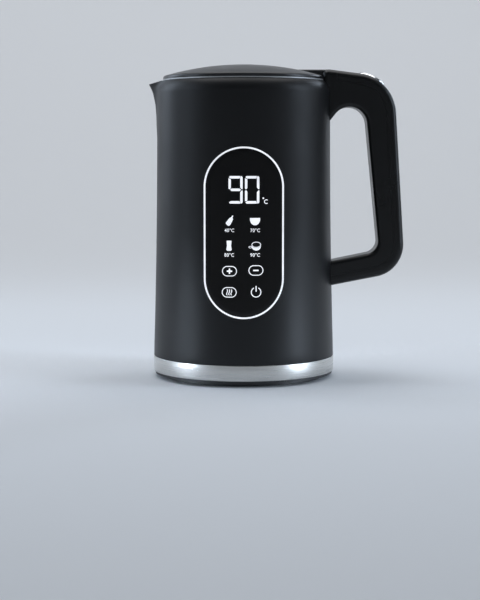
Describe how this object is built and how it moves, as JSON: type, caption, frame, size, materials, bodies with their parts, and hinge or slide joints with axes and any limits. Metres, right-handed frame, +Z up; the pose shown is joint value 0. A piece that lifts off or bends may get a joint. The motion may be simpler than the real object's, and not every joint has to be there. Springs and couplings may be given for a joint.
{
  "type": "cordless electric kettle",
  "caption": "Jug-shaped cordless electric kettle with a V beak, hinged lid, lid-release button, D handle and touch panel.",
  "frame": {"origin": "centre of the foot ring on the standing plane, on the jug's axis", "axes": "+Z up, -X towards the beak, +X towards the handle, -Y towards the touch panel"},
  "size_m": [0.2032, 0.1452, 0.2489],
  "materials": {
    "shell_black": "satin",
    "lid_gray": "satin",
    "handle_black": "satin",
    "panel_black": "gloss",
    "light_white": "gloss",
    "brushed_steel": "brushed",
    "pot_steel": "satin",
    "bezel_chrome": "polished",
    "screw_steel": "plain",
    "spring_steel": "plain",
    "seal_silicone": "matte",
    "inner_plastic": "matte",
    "plate_aluminium": "plain",
    "contact_brass": "plain",
    "board_green": "matte",
    "component_black": "matte",
    "lead_jacket": "matte"
  },
  "bodies": {
    "jug": {"outer_shell": "shell_black", "trim_ring": "brushed_steel", "base_cover": "inner_plastic", "base_screws": "screw_steel", "inner_pot": "pot_steel", "pot_seal": "seal_silicone", "top_collar": "inner_plastic", "heat_plate": "plate_aluminium", "heating_element": "plate_aluminium", "element_terminals": "screw_steel", "temperature_sensor": "pot_steel", "sensor_seal": "seal_silicone", "thermal_cutout": "component_black", "connector_housing": "inner_plastic", "contact_pin": "contact_brass", "contact_ring": "contact_brass", "power_board": "board_green", "board_components": "component_black", "board_screws": "screw_steel", "mains_leads": "lead_jacket", "ribbon_cable": "lead_jacket", "control_board": "board_green", "light_box": "light_white", "light_ring": "light_white", "touch_panel": "panel_black", "hinge_pin": "screw_steel", "lid_spring": "spring_steel", "handle_grip": "handle_black", "handle_cover": "handle_black", "handle_screws": "screw_steel", "button_bezel": "bezel_chrome", "latch_spring": "spring_steel"},
    "lid": {"lid_shell": "lid_gray", "lid_trim": "brushed_steel", "lid_base": "inner_plastic", "lid_liner": "pot_steel", "lid_seal": "seal_silicone", "lid_screws": "screw_steel"},
    "button": {"release_button": "handle_black"},
    "latch": {"latch_slider": "inner_plastic"},
    "filter": {"filter_frame": "inner_plastic", "filter_mesh": "pot_steel"}
  },
  "joints": [
    {"name": "lid_hinge", "type": "hinge", "parent": "jug", "child": "lid", "pos_m": [0.0675, 0, 0.2392], "axis": [0, 1, 0], "range_deg": [0, 85]},
    {"name": "button_press", "type": "slide", "parent": "jug", "child": "button", "axis": [-0.4329, 0, -0.9015], "range_m": [0, 0.0025], "stiffness_N_per_m": 900},
    {"name": "latch_slide", "type": "slide", "parent": "jug", "child": "latch", "axis": [1, 0, 0], "range_m": [0, 0.0015], "deforming": ["latch_spring"]},
    {"name": "filter_pull", "type": "slide", "parent": "jug", "child": "filter", "axis": [1, 0, 0], "range_m": [0, 0.03]}
  ],
  "couplings": [
    {"joint": "latch_slide", "follows": "button_press", "ratio": 0.6}
  ]
}
